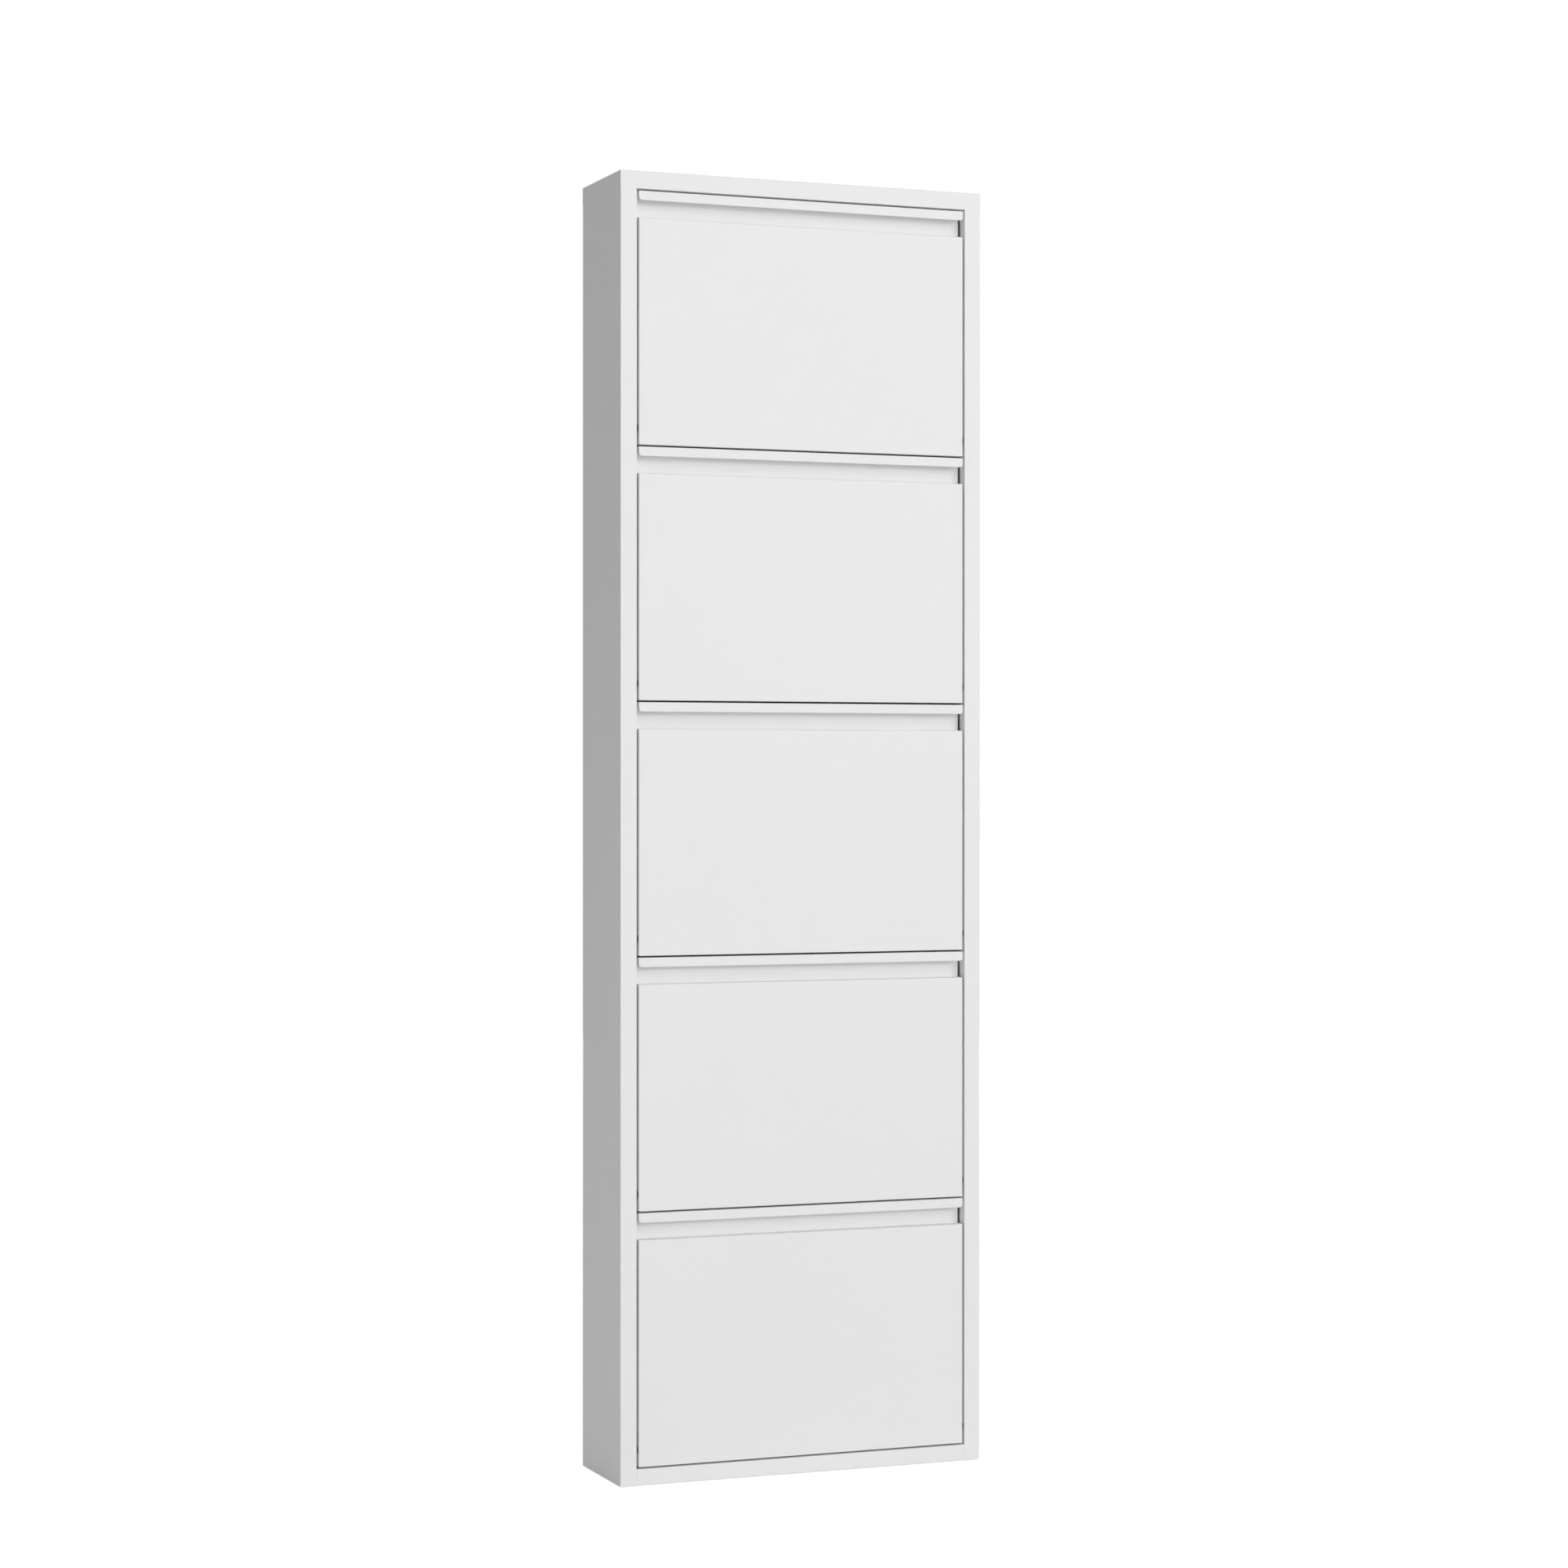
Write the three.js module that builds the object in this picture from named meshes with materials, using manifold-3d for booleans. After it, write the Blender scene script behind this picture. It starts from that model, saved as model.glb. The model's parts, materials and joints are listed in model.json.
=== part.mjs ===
// A tall, slim shoe cabinet in folded, powder-coated sheet steel with tip-out flaps one above the other.
// Millimetres. X runs to the right, Y from the front to the back, Z up.
// The origin is on the floor, midway across the width and the depth.

import * as THREE from "three";
import { mergeVertices } from "three/addons/utils/BufferGeometryUtils.js";
import Module from "manifold-3d";

const wasm = await Module();
wasm.setup();

// ---------- Driving dimensions ----------

// The case, outside
const WIDTH = 504;
const DEPTH = 153;
const CASE_HEIGHT = 1680; // without the glides under it

// Sheet metal
const SHEET = 0.8; // thickness
const BEND = 1.1; // outer radius of a fold
const FIT = 0.3; // gap between pieces that touch

// The front frame
const TOP_RAIL = 22.5;
const BOTTOM_RAIL = 20.9;
const STILE = 22.3; // from the outside of the case to the opening
const STILE_RETURN = 17; // depth of the fold back into the case beside the opening
const REAR_RETURN = 15; // width of the fold that holds the back panel
const BASE_LIP = 25; // width of the folds under the base, which hold the glides
const WELD_FLANGE = 14; // height of the flanges that join the top and the base to the sides
const WELD_FLANGE_INSET = 4; // from a weld flange's end to the next fold

// The flaps
const FLAP_COUNT = 5;
const GAP = 2.2; // above and below each flap
const SIDE_GAP = 2.7;
const LIP = 12; // height of the strip that hangs in front of the finger recess
const LIP_CORNER = 4; // radius of its lower corners
const RECESS = 22.2; // clear height of the finger recess below the lip
const RECESS_DEPTH = 15.5;
const FLAP_FLANGE = 10; // depth of the flanges round the back of the face
const FACE_CORNER = 2; // radius of the face's lower corners

// The pivots: near the bottom of a flap, close behind its face, so that its edge stays in the gap
const PIVOT_BACK = 9;
const PIVOT_UP = 22;
const OPENING_ANGLE = 40; // degrees
const PIN_RADIUS = 3;
const PIN_CLEARANCE = 0.3; // between a pin and its bush, on the radius
const PIN_HEAD_RADIUS = 5.5;
const PIN_HEAD = 2; // thickness
const PIN_CHAMFER = 0.6;
const PIN_INSET = 2; // of the pin's end, inside the cheek
const BUSH_WALL = 1.5;
const BUSH_FLANGE_RADIUS = 6;
const BUSH_INSET = 1; // of the bush's end, inside the cheek
const EAR_MARGIN = 6; // sheet round a pivot hole
const EAR_CORNER = 5;

// The trays
const TRAY_REAR_CLEARANCE = 29; // from a tray to the back panel
const TRAY_FRONT = 50; // height of the fold behind the face
const TRAY_BACK = 96; // height of the rear wall
const TRAY_HEM = 8; // width and depth of the fold along the top of the rear wall
const TRAY_SIDE_CLEARANCE = 1.2; // from a cheek to the side flange beside it
const CHEEK_SET = 0.2; // how far a cheek's edges lie inside the trough's outer faces
const CHEEK_FRONT = 186; // height of a cheek behind the face
const CHEEK_TOP = 12; // level length of its upper edge
const ROD_RADIUS = 3;
const ROD_MARGIN = 9; // from the rod's axis to the edges of a cheek
const ROD_OVERHANG = 8; // of each end behind the stile's return
const ROD_CHAMFER = 0.8;

// Rubber buffers that the closed flaps rest on
const BUFFER_RADIUS = 2.2;
const BUFFER_UP = 250; // above the flap's lower edge
const BUFFER_REACH = 2; // past the flap's side flange, inwards
const BUFFER_STEM_RADIUS = 1.5;
const BUFFER_BARB_RADIUS = 2.3;
const BUFFER_BARB = 1.6; // length

// The fixings at the back
const WALL_PLATE_WIDTH = 60;
const WALL_PLATE_HEIGHT = 40;
const WALL_PLATE_CORNER = 4;
const WALL_PLATE = 2; // thickness
const WALL_HOLE_RADIUS = 3.5;
const WALL_PLATE_FROM_SIDE = 62; // from the outside of the case to the hole
const WALL_PLATE_FROM_TOP = 58; // from the top of the case to the hole

// Glides under the base
const GLIDE_LIFT = 1.5; // of the case above the floor
const GLIDE_RADIUS = 7;
const GLIDE_EDGE = 0.5;
const GLIDE_STEM_RADIUS = 4;
const GLIDE_BARB_RADIUS = 5;
const GLIDE_BARB = 3; // height
const GLIDE_FROM_SIDE = 48; // from the outside of the case to a glide's axis
const GLIDE_FROM_FRONT = 15; // from the front or the back of the case to a glide's axis

// Facets
const BEND_STEPS = 3; // of a quarter turn in a fold
const ROUND_STEPS = 12; // of a full turn in a small round piece
const HOLE_STEPS = 24; // of a full turn in a screw hole
const OVERLAP = 1; // by which a cutting body passes the faces it cuts

// ---------- Values worked out from them ----------

const left = -WIDTH / 2;
const right = WIDTH / 2;
const front = -DEPTH / 2;
const back = DEPTH / 2;
const base = GLIDE_LIFT;
const top = base + CASE_HEIGHT;
const innerBend = BEND - SHEET;

const openingHalf = right - STILE;
const flapHalf = openingHalf - SIDE_GAP;
const flapPitch = (CASE_HEIGHT - TOP_RAIL - BOTTOM_RAIL - GAP) / FLAP_COUNT;
const flapHeight = flapPitch - GAP;
const faceHeight = flapHeight - LIP - RECESS;
const recessBack = RECESS_DEPTH + SHEET;

const bushRadius = PIN_RADIUS + PIN_CLEARANCE + BUSH_WALL;
const bushHoleRadius = bushRadius + FIT;
const earDepth = PIVOT_BACK + bushHoleRadius + EAR_MARGIN;
const earHeight = PIVOT_UP + bushHoleRadius + EAR_MARGIN * 2;

const backPanelRear = back - SHEET - FIT;
const backPanelFront = backPanelRear - SHEET;
const trayInset = SHEET + FIT;
const trayHalf = flapHalf - SHEET - TRAY_SIDE_CLEARANCE;
const cheekInner = trayHalf - SHEET;
const trayDepth = backPanelFront - TRAY_REAR_CLEARANCE - front;

// The rod lies where its ends meet the stile returns when the flap is fully open.
const tilt = THREE.MathUtils.degToRad(OPENING_ANGLE);
const rodBack = trayDepth - ROD_MARGIN;
const rodStop = STILE_RETURN + FIT + ROD_RADIUS - PIVOT_BACK;
const rodUp = PIVOT_UP + ((rodBack - PIVOT_BACK) * Math.cos(tilt) - rodStop) / Math.sin(tilt);
const rodHalf = openingHalf + SHEET + ROD_OVERHANG;

const bufferBack = FLAP_FLANGE + FIT + BUFFER_RADIUS;

// The height of the lower edge of each flap; flap 1 is the top one.
const flapBottoms = Array.from(
  { length: FLAP_COUNT },
  (_, i) => base + BOTTOM_RAIL + GAP + (FLAP_COUNT - 1 - i) * flapPitch,
);

// ---------- Materials ----------

const coated = (name, colour) =>
  Object.assign(new THREE.MeshStandardMaterial({ color: colour, roughness: 0.5, metalness: 0 }), { name });
const caseCoat = coated("case_coat", 0xebebeb);
const flapCoat = coated("flap_coat", 0xebebeb);
const trayCoat = coated("tray_coat", 0xe4e4e4);
const zincSteel = new THREE.MeshStandardMaterial({ color: 0xb4b6b8, roughness: 0.35, metalness: 1 });
const nylon = new THREE.MeshStandardMaterial({ color: 0xe7e6e2, roughness: 0.55, metalness: 0 });
const blackNylon = new THREE.MeshStandardMaterial({ color: 0x303032, roughness: 0.5, metalness: 0 });
const rubber = new THREE.MeshStandardMaterial({ color: 0x2a2a2b, roughness: 0.8, metalness: 0 });

// ---------- Solids: closed geometry in and out of the boolean library ----------

function solid(geometry) {
  const bare = geometry.clone();
  bare.deleteAttribute("normal");
  bare.deleteAttribute("uv");
  const merged = mergeVertices(bare, 1e-4);
  return new wasm.Manifold(
    new wasm.Mesh({
      numProp: 3,
      vertProperties: new Float32Array(merged.attributes.position.array),
      triVerts: new Uint32Array(merged.index.array),
    }),
  );
}

function geometryOf(body) {
  const mesh = body.getMesh();
  const geometry = new THREE.BufferGeometry();
  geometry.setAttribute("position", new THREE.BufferAttribute(mesh.vertProperties, 3));
  geometry.setIndex(new THREE.BufferAttribute(mesh.triVerts, 1));
  geometry.computeVertexNormals();
  return geometry;
}

const join = (...bodies) => bodies.reduce((sum, body) => sum.add(body));
const cut = (body, ...tools) => tools.reduce((rest, tool) => rest.subtract(tool), body);
const common = (...bodies) => bodies.reduce((sum, body) => sum.intersect(body));

const X = new THREE.Vector3(1, 0, 0);
const Y = new THREE.Vector3(0, 1, 0);
const Z = new THREE.Vector3(0, 0, 1);

function extruded(shape, length) {
  return new THREE.ExtrudeGeometry(shape, { depth: length, bevelEnabled: false, curveSegments: BEND_STEPS });
}

// A shape drawn in Y and Z, carried along X.
function alongX(shape, from, to) {
  const geometry = extruded(shape, to - from);
  geometry.applyMatrix4(new THREE.Matrix4().makeBasis(Y, Z, X));
  return solid(geometry.translate(from, 0, 0));
}

// A shape drawn in X and Z, carried along Y.
function alongY(shape, from, to) {
  const geometry = extruded(shape, to - from);
  geometry.applyMatrix4(new THREE.Matrix4().makeBasis(X, Z, Y.clone().negate()));
  return solid(geometry.translate(0, to, 0));
}

// A shape drawn in X and Y, carried along Z.
function alongZ(shape, from, to) {
  return solid(extruded(shape, to - from).translate(0, 0, from));
}

function block(xFrom, xTo, yFrom, yTo, zFrom, zTo) {
  const geometry = new THREE.BoxGeometry(xTo - xFrom, yTo - yFrom, zTo - zFrom);
  return solid(geometry.translate((xFrom + xTo) / 2, (yFrom + yTo) / 2, (zFrom + zTo) / 2));
}

// The same body on the other side of the cabinet's middle plane.
const mirrored = (body) => body.mirror([1, 0, 0]);
const bothSides = (body) => [body, mirrored(body)];

// A body of revolution about the line through (y, z) along X; the outline lists [radius, x].
function turnedAboutX(outline, y, z) {
  const points = outline.map(([radius, x]) => new THREE.Vector2(radius, x));
  const geometry = new THREE.LatheGeometry(points, ROUND_STEPS);
  return solid(geometry.rotateZ(-Math.PI / 2).translate(0, y, z));
}

// A body of revolution about the upright line through (x, y); the outline lists [radius, z].
function turnedAboutZ(outline, x, y) {
  const points = outline.map(([radius, z]) => new THREE.Vector2(radius, z));
  const geometry = new THREE.LatheGeometry(points, ROUND_STEPS);
  return solid(geometry.rotateX(Math.PI / 2).translate(x, y, 0));
}

const drillAlongX = (radius, xFrom, xTo, y, z) =>
  turnedAboutX([[0, xFrom], [radius, xFrom], [radius, xTo], [0, xTo]], y, z);

// ---------- Outlines ----------

// The section of a folded sheet. One face follows the corner points, the other lies a sheet's thickness
// to the right of them, and every corner is bent to the same outer radius.
function foldedSheet(corners) {
  const points = corners.map(([u, v]) => new THREE.Vector2(u, v));
  const near = [];
  const far = [];
  const rightOf = (from, to) => {
    const along = to.clone().sub(from).normalize();
    return new THREE.Vector2(along.y, -along.x);
  };
  points.forEach((point, i) => {
    if (i === 0 || i === points.length - 1) {
      const normal = i === 0 ? rightOf(point, points[1]) : rightOf(points[i - 1], point);
      near.push(point.clone());
      far.push(point.clone().addScaledVector(normal, SHEET));
      return;
    }
    const before = rightOf(points[i - 1], point);
    const after = rightOf(point, points[i + 1]);
    const turn = Math.atan2(before.cross(after), before.dot(after));
    const side = Math.sign(turn);
    const nearRadius = side < 0 ? BEND : innerBend;
    const farRadius = side < 0 ? innerBend : BEND;
    const centre = point
      .clone()
      .addScaledVector(before.clone().add(after), (-side * nearRadius) / (1 + before.dot(after)));
    for (let step = 0; step <= BEND_STEPS; step += 1) {
      const normal = before.clone().rotateAround(new THREE.Vector2(), (turn * step) / BEND_STEPS);
      near.push(centre.clone().addScaledVector(normal, side * nearRadius));
      far.push(centre.clone().addScaledVector(normal, side * farRadius));
    }
  });
  return new THREE.Shape([...near, ...far.reverse()]);
}

// A rectangle whose corners are rounded by [low-low, high-low, high-high, low-high] radii.
function roundedRectangle(uFrom, uTo, vFrom, vTo, radii) {
  const shape = new THREE.Shape();
  const quarter = Math.PI / 2;
  const centres = [
    [uFrom, vFrom, 1, 1],
    [uTo, vFrom, -1, 1],
    [uTo, vTo, -1, -1],
    [uFrom, vTo, 1, -1],
  ];
  centres.forEach(([u, v, du, dv], i) => {
    const radius = radii[i];
    if (radius > 0) {
      const start = Math.PI + i * quarter;
      shape.absarc(u + du * radius, v + dv * radius, radius, start, start + quarter, false);
    } else if (i === 0) {
      shape.moveTo(u, v);
    } else {
      shape.lineTo(u, v);
    }
  });
  shape.closePath();
  return shape;
}

// The piece outside a rounded lower corner at (0, 0), to be cut away from a sheet that lies above and to
// the left of that corner.
function cornerOffcut(radius) {
  const shape = new THREE.Shape();
  shape.moveTo(-radius, 0);
  shape.absarc(-radius, radius, radius, -Math.PI / 2, 0, false);
  shape.lineTo(OVERLAP, radius);
  shape.lineTo(OVERLAP, -OVERLAP);
  shape.lineTo(-radius, -OVERLAP);
  shape.closePath();
  return shape;
}

// A block whose front, lower and side edges are rounded, as folds round a pressed pan are.
// Its rear stays square, and its upper front edge is rounded where roundTop is true.
function panBlock(half, yFrom, yTo, zFrom, zTo, edge, corner, roundTop) {
  const topEdge = roundTop ? edge : 0;
  return common(
    alongX(roundedRectangle(yFrom, yTo, zFrom, zTo, [edge, 0, 0, topEdge]), -half, half),
    alongZ(roundedRectangle(-half, half, yFrom, yTo, [edge, edge, 0, 0]), zFrom, zTo),
    alongY(roundedRectangle(-half, half, zFrom, zTo, [corner, corner, 0, 0]), yFrom, yTo),
  );
}

// ---------- The case ----------

function sidePanel() {
  const railSeam = top - TOP_RAIL - FIT;
  const channel = foldedSheet([
    [-openingHalf, front + STILE_RETURN],
    [-openingHalf, front],
    [left, front],
    [left, back],
    [left + REAR_RETURN, back],
  ]);
  // Beside the top panel only the flat side goes on, between the top panel's front and rear flanges.
  const flat = [left, left + SHEET, front + SHEET + FIT, back - SHEET - FIT];
  const holes = flapBottoms.flatMap((bottom) => [
    drillAlongX(
      PIN_RADIUS + FIT,
      -openingHalf - SHEET - OVERLAP,
      -openingHalf + OVERLAP,
      front + PIVOT_BACK,
      bottom + PIVOT_UP,
    ),
    drillAlongX(
      BUFFER_STEM_RADIUS + FIT,
      -openingHalf - SHEET - OVERLAP,
      -openingHalf + OVERLAP,
      front + bufferBack,
      bottom + BUFFER_UP,
    ),
  ]);
  return cut(join(alongZ(channel, base, railSeam), block(...flat, railSeam - OVERLAP, top)), ...holes);
}

// The flange that joins the top or the base to a side panel.
function weldFlange(zFrom, zTo) {
  const outer = right - SHEET - FIT;
  const yFrom = front + STILE_RETURN + FIT + WELD_FLANGE_INSET;
  const yTo = backPanelFront - WELD_FLANGE_INSET;
  return bothSides(block(outer - SHEET, outer, yFrom, yTo, zFrom, zTo));
}

function topPanel() {
  const railFoot = top - TOP_RAIL;
  const sheet = foldedSheet([
    [front + STILE_RETURN, railFoot],
    [front, railFoot],
    [front, top],
    [back, top],
    [back, railFoot],
  ]);
  const sideRoom = block(
    right - SHEET - FIT,
    right + OVERLAP,
    front + SHEET,
    back - SHEET,
    railFoot - OVERLAP,
    top + OVERLAP,
  );
  return join(
    cut(alongX(sheet, left, right), ...bothSides(sideRoom)),
    ...weldFlange(top - WELD_FLANGE, top - SHEET / 2),
  );
}

function bottomPanel() {
  const railTop = base + BOTTOM_RAIL;
  const sheet = foldedSheet([
    [front + BASE_LIP, base],
    [front, base],
    [front, railTop],
    [back, railTop],
    [back, base],
    [back - BASE_LIP, base],
  ]);
  const between = right - SHEET - FIT;
  const stileRoom = block(
    openingHalf - FIT,
    right,
    front - OVERLAP,
    front + STILE_RETURN + FIT,
    base - OVERLAP,
    railTop + OVERLAP,
  );
  const returnRoom = block(
    right - REAR_RETURN - FIT,
    right,
    back - BEND,
    back + OVERLAP,
    base - OVERLAP,
    railTop + OVERLAP,
  );
  const glideHoles = glidePlaces.map(({ x, y }) =>
    turnedAboutZ(
      [
        [0, base - OVERLAP],
        [GLIDE_STEM_RADIUS + FIT, base - OVERLAP],
        [GLIDE_STEM_RADIUS + FIT, base + SHEET + OVERLAP],
        [0, base + SHEET + OVERLAP],
      ],
      x,
      y,
    ),
  );
  return join(
    cut(alongX(sheet, -between, between), ...bothSides(stileRoom), ...bothSides(returnRoom), ...glideHoles),
    ...weldFlange(railTop - WELD_FLANGE, railTop - SHEET / 2),
  );
}

const wallHoleX = right - WALL_PLATE_FROM_SIDE;
const wallHoleZ = top - WALL_PLATE_FROM_TOP;

function withHole(shape, u, v, radius) {
  const circle = new THREE.EllipseCurve(u, v, radius, radius, 0, Math.PI * 2, true);
  shape.holes.push(new THREE.Path(circle.getPoints(HOLE_STEPS).slice(1)));
  return shape;
}

function backPanel() {
  const half = right - BEND - FIT;
  const sheet = roundedRectangle(-half, half, base + BOTTOM_RAIL + FIT, top - BEND - FIT, [0, 0, 0, 0]);
  withHole(sheet, wallHoleX, wallHoleZ, WALL_HOLE_RADIUS);
  withHole(sheet, -wallHoleX, wallHoleZ, WALL_HOLE_RADIUS);
  return alongY(sheet, backPanelFront, backPanelRear);
}

function wallPlate() {
  const plate = roundedRectangle(
    wallHoleX - WALL_PLATE_WIDTH / 2,
    wallHoleX + WALL_PLATE_WIDTH / 2,
    wallHoleZ - WALL_PLATE_HEIGHT / 2,
    wallHoleZ + WALL_PLATE_HEIGHT / 2,
    Array(4).fill(WALL_PLATE_CORNER),
  );
  withHole(plate, wallHoleX, wallHoleZ, WALL_HOLE_RADIUS);
  const rear = backPanelFront - FIT;
  return alongY(plate, rear - WALL_PLATE, rear);
}

const glidePlaces = ["front", "rear"].flatMap((end) =>
  ["left", "right"].map((side) => ({
    name: `glide_${end}_${side}`,
    x: (side === "left" ? -1 : 1) * (right - GLIDE_FROM_SIDE),
    y: (end === "front" ? -1 : 1) * (back - GLIDE_FROM_FRONT),
  })),
);

// A disc on the floor whose barbed stem snaps through the fold under the base.
function glide({ x, y }) {
  const seat = base - FIT;
  const barbFoot = base + SHEET + FIT;
  return turnedAboutZ(
    [
      [0, 0],
      [GLIDE_RADIUS - GLIDE_EDGE, 0],
      [GLIDE_RADIUS, GLIDE_EDGE],
      [GLIDE_RADIUS, seat],
      [GLIDE_STEM_RADIUS, seat],
      [GLIDE_STEM_RADIUS, barbFoot],
      [GLIDE_BARB_RADIUS, barbFoot],
      [GLIDE_STEM_RADIUS, barbFoot + GLIDE_BARB],
      [0, barbFoot + GLIDE_BARB],
    ],
    x,
    y,
  );
}

// ---------- A flap, with its lower front edge on the line y = 0, z = 0 ----------

function pivotHole() {
  return drillAlongX(bushHoleRadius, cheekInner - OVERLAP, flapHalf + OVERLAP, PIVOT_BACK, PIVOT_UP);
}

// One sheet: the lip, the finger recess behind it, the face and the flanges round its back.
function flapFront() {
  const pan = cut(
    panBlock(flapHalf, 0, FLAP_FLANGE, 0, faceHeight, BEND, FACE_CORNER, true),
    panBlock(
      flapHalf - SHEET,
      SHEET,
      FLAP_FLANGE + OVERLAP,
      SHEET,
      faceHeight - SHEET,
      innerBend,
      Math.max(FACE_CORNER - SHEET, 0),
      true,
    ),
  );
  const recess = foldedSheet([
    [0, flapHeight - LIP],
    [0, flapHeight],
    [recessBack, flapHeight],
    [recessBack, faceHeight - SHEET],
    [BEND, faceHeight - SHEET],
  ]);
  const offcut = alongY(cornerOffcut(LIP_CORNER), -OVERLAP, SHEET).translate([flapHalf, 0, flapHeight - LIP]);
  const ear = alongX(
    roundedRectangle(FLAP_FLANGE / 2, earDepth, SHEET * 2, earHeight, [0, EAR_CORNER, EAR_CORNER, 0]),
    flapHalf - SHEET,
    flapHalf,
  );
  const sheet = join(pan, alongX(recess, -flapHalf, flapHalf), ...bothSides(ear));
  return cut(sheet, ...bothSides(offcut), ...bothSides(pivotHole()));
}

// The side view of a cheek: level behind the face, then straight down to the rod and round it.
function cheekOutline() {
  const near = trayInset + CHEEK_SET;
  const far = trayDepth - CHEEK_SET;
  const fold = BEND - CHEEK_SET;
  const margin = far - rodBack;
  const reach = Math.hypot(rodBack - CHEEK_TOP, CHEEK_FRONT - rodUp);
  const towards = Math.atan2(CHEEK_FRONT - rodUp, CHEEK_TOP - rodBack);
  const tangent = towards - Math.acos(margin / reach);
  const quarter = Math.PI / 2;
  const shape = new THREE.Shape();
  shape.absarc(near + fold, near + fold, fold, 2 * quarter, 3 * quarter, false);
  shape.absarc(far - fold, near + fold, fold, 3 * quarter, 4 * quarter, false);
  shape.absarc(rodBack, rodUp, margin, 0, tangent, false);
  shape.lineTo(CHEEK_TOP, CHEEK_FRONT);
  shape.lineTo(near, CHEEK_FRONT);
  shape.closePath();
  return shape;
}

// A folded trough, whose rear wall ends in a hem, with a cheek welded to each end.
function tray() {
  const trough = foldedSheet([
    [trayDepth - TRAY_HEM, TRAY_BACK - TRAY_HEM],
    [trayDepth - TRAY_HEM, TRAY_BACK],
    [trayDepth, TRAY_BACK],
    [trayDepth, trayInset],
    [trayInset, trayInset],
    [trayInset, TRAY_FRONT],
  ]);
  const troughHalf = cheekInner + SHEET / 2;
  const rodHole = drillAlongX(ROD_RADIUS + FIT, cheekInner - OVERLAP, trayHalf + OVERLAP, rodBack, rodUp);
  const cheek = cut(alongX(cheekOutline(), cheekInner, trayHalf), rodHole, pivotHole());
  return join(alongX(trough, -troughHalf, troughHalf), ...bothSides(cheek));
}

function rod() {
  return turnedAboutX(
    [
      [0, -rodHalf],
      [ROD_RADIUS - ROD_CHAMFER, -rodHalf],
      [ROD_RADIUS, -rodHalf + ROD_CHAMFER],
      [ROD_RADIUS, rodHalf - ROD_CHAMFER],
      [ROD_RADIUS - ROD_CHAMFER, rodHalf],
      [0, rodHalf],
    ],
    rodBack,
    rodUp,
  );
}

// The right-hand bush: its body fills the holes of the ear and the cheek, and its flange fills the side gap.
function bush() {
  const bore = PIN_RADIUS + PIN_CLEARANCE;
  const seat = flapHalf + FIT;
  return turnedAboutX(
    [
      [bore, cheekInner - BUSH_INSET],
      [bushRadius, cheekInner - BUSH_INSET],
      [bushRadius, seat],
      [BUSH_FLANGE_RADIUS, seat],
      [BUSH_FLANGE_RADIUS, openingHalf - FIT],
      [bore, openingHalf - FIT],
      [bore, cheekInner - BUSH_INSET],
    ],
    PIVOT_BACK,
    PIVOT_UP,
  );
}

// The right-hand pin: its shank runs through the stile's return, and its head lies behind it.
function pivotPin() {
  const end = cheekInner - PIN_INSET;
  const head = openingHalf + SHEET + FIT;
  return turnedAboutX(
    [
      [0, end],
      [PIN_RADIUS - PIN_CHAMFER, end],
      [PIN_RADIUS, end + PIN_CHAMFER],
      [PIN_RADIUS, head],
      [PIN_HEAD_RADIUS, head],
      [PIN_HEAD_RADIUS, head + PIN_HEAD / 2],
      [PIN_HEAD_RADIUS - PIN_HEAD / 2, head + PIN_HEAD],
      [0, head + PIN_HEAD],
    ],
    PIVOT_BACK,
    PIVOT_UP,
  );
}

// The right-hand buffer: a rubber button whose barb sits behind the stile's return.
function buffer() {
  const inner = flapHalf - SHEET - BUFFER_REACH;
  const seat = openingHalf - FIT;
  const barb = openingHalf + SHEET + FIT;
  return turnedAboutX(
    [
      [0, inner],
      [BUFFER_RADIUS, inner],
      [BUFFER_RADIUS, seat],
      [BUFFER_STEM_RADIUS, seat],
      [BUFFER_STEM_RADIUS, barb],
      [BUFFER_BARB_RADIUS, barb],
      [BUFFER_STEM_RADIUS, barb + BUFFER_BARB],
      [0, barb + BUFFER_BARB],
    ],
    bufferBack,
    BUFFER_UP,
  );
}

// ---------- The assembly ----------

function named(name, geometry, material) {
  const mesh = new THREE.Mesh(geometry, material);
  mesh.name = name;
  return mesh;
}

// The same piece for the left and the right.
function pair(rightBody) {
  return { left: geometryOf(mirrored(rightBody)), right: geometryOf(rightBody) };
}

const cabinet = new THREE.Group();
const sides = { left: sidePanel() };
sides.right = mirrored(sides.left);
cabinet.add(named("left_side_panel", geometryOf(sides.left), caseCoat));
cabinet.add(named("right_side_panel", geometryOf(sides.right), caseCoat));
cabinet.add(named("top_panel", geometryOf(topPanel()), caseCoat));
cabinet.add(named("bottom_panel", geometryOf(bottomPanel()), caseCoat));
cabinet.add(named("back_panel", geometryOf(backPanel()), caseCoat));
Object.entries(pair(wallPlate())).forEach(([side, geometry]) =>
  cabinet.add(named(`wall_plate_${side}`, geometry, zincSteel)),
);
glidePlaces.forEach((place) => cabinet.add(named(place.name, geometryOf(glide(place)), nylon)));

const frontGeometry = geometryOf(flapFront());
const trayGeometry = geometryOf(tray());
const rodGeometry = geometryOf(rod());
const bushes = pair(bush());
const pins = pair(pivotPin());
const buffers = pair(buffer());

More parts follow.
